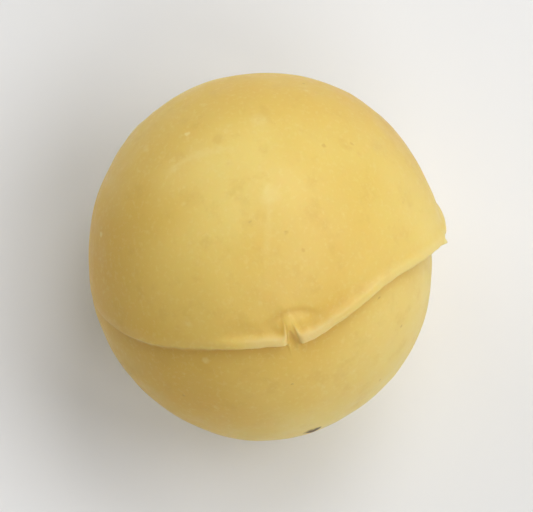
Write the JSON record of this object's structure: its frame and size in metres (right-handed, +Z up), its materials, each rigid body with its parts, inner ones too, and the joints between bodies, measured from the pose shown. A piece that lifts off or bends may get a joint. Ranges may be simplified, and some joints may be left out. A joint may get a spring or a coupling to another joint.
{
  "type": "shelled macadamia nut kernel",
  "caption": "Whole shelled macadamia nut kernel: a rounded cream body with a raised lip along its seam, a notch and a small nub at its nose, and a flat spot it rests on.",
  "frame": {"origin": "centre of the kernel's outline seen from above, at the level of the flat spot it rests on", "axes": "+Z up; the nose, with the notch and the nub, points up and to the front (-Y); the lip runs out to its beak towards +X; +Y is the kernel's longest extent"},
  "size_m": [0.0184, 0.0188, 0.018],
  "materials": {
    "kernel": "satin"
  },
  "bodies": {
    "root": {"kernel": "kernel"}
  },
  "joints": []
}
